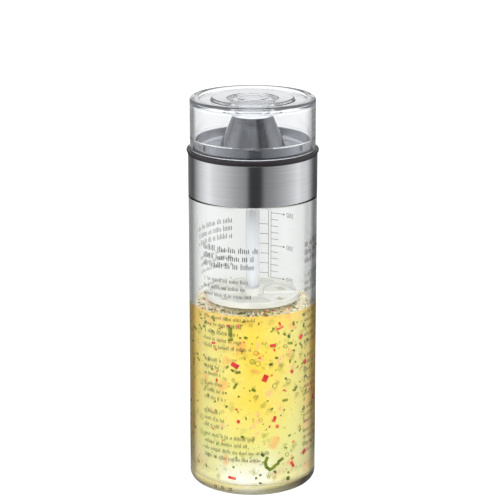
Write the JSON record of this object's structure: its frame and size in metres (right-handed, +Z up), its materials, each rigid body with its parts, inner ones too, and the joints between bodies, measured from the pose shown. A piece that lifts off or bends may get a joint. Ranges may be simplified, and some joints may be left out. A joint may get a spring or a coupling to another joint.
{
  "type": "salad dressing shaker bottle",
  "caption": "Straight glass jar with a steel-banded screw closure, a cone pour spout in a drip dish, a mixing disc on a rod and a clear pull-off cap with a stopper.",
  "frame": {"origin": "middle of the jar's foot, on the plane it stands on", "axes": "+Z up along the jar's axis; the printed recipe side faces -Y, towards the camera, and the millilitre scale is on the +Y side"},
  "size_m": [0.0674, 0.0674, 0.2041],
  "materials": {
    "clear_glass": "clear, polished",
    "vinaigrette": "cloudy yellow liquid with herbs",
    "soft_gasket": "matte",
    "black_plastic": "fine matte",
    "brushed_steel": "brushed round the axis",
    "black_rubber": "smooth matte",
    "white_plastic": "smooth satin",
    "clear_plastic": "clear, polished",
    "clear_rubber": "clear, smooth"
  },
  "bodies": {
    "bottle": {"glass_jar": "clear_glass", "dressing": "vinaigrette"},
    "neck_seal": {"neck_gasket": "soft_gasket"},
    "closure": {"threaded_collar": "black_plastic", "steel_band": "brushed_steel", "cap_seal_ring": "black_rubber", "drip_dish": "brushed_steel", "pour_spout": "brushed_steel", "spout_liner": "white_plastic", "deck_washer": "soft_gasket", "clamp_nut": "white_plastic", "mixer_rod": "clear_plastic", "mixer_disc": "white_plastic", "rod_tip": "white_plastic"},
    "cap": {"clear_cap": "clear_plastic", "stopper": "clear_rubber"}
  },
  "joints": [
    {"name": "closure_turn", "type": "hinge", "parent": "neck_seal", "child": "closure", "pos_m": [0, 0, 0], "axis": [0, 0, 1], "range_deg": [0, 540]},
    {"name": "closure_rise", "type": "slide", "parent": "bottle", "child": "neck_seal", "axis": [0, 0, 1], "range_m": [0, 0.00675]},
    {"name": "cap_lift", "type": "slide", "parent": "closure", "child": "cap", "axis": [0, 0, 1], "range_m": [0, 0.04]}
  ],
  "couplings": [
    {"joint": "closure_rise", "follows": "closure_turn", "m_per_rad": 0.0007162}
  ]
}
